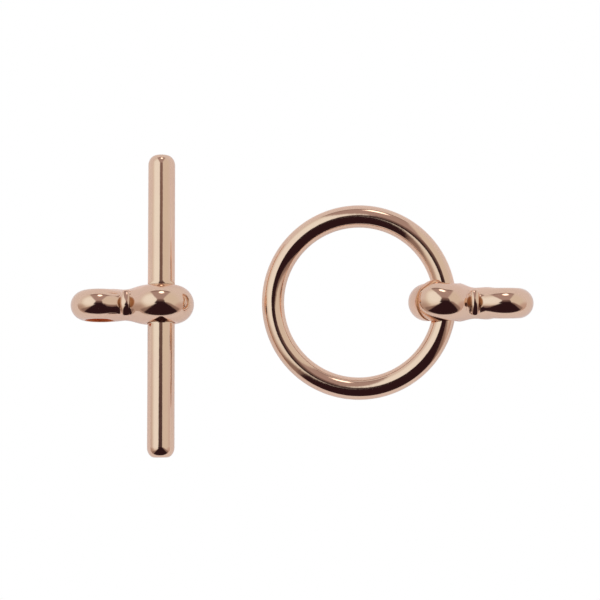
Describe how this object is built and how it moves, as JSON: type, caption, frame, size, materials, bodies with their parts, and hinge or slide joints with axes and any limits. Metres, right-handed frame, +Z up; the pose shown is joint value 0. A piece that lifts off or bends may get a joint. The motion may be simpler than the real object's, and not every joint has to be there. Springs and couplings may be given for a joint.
{
  "type": "toggle clasp",
  "caption": "Round ring and straight bar that fasten a chain when the bar is passed through the ring, each held by a cast end link with a ribbed neck and a chain eye.",
  "frame": {"origin": "on the surface that the clasp lies on, under the middle of its bounding box", "axes": "+Z up; +X from the bar half to the ring half; +Y towards the back, to the low end of the bar"},
  "size_m": [0.0356, 0.0234, 0.005],
  "materials": {
    "rose_gold": "polished rose-gold plating on brass"
  },
  "bodies": {
    "ring_and_bar": {"ring": "rose_gold", "bar": "rose_gold"},
    "ring_link": {"ring_link": "rose_gold"},
    "bar_link": {"bar_link": "rose_gold"}
  },
  "joints": [
    {"name": "ring_link_swing", "type": "hinge", "parent": "ring_and_bar", "child": "ring_link", "pos_m": [0.01084, 0.00017, 0.00251], "axis": [0, 0.9997, -0.0258], "continuous": true},
    {"name": "bar_link_swing", "type": "hinge", "parent": "ring_and_bar", "child": "bar_link", "pos_m": [-0.01084, 0, 0.0025], "axis": [0.0104, -0.9914, 0.1303], "continuous": true}
  ]
}
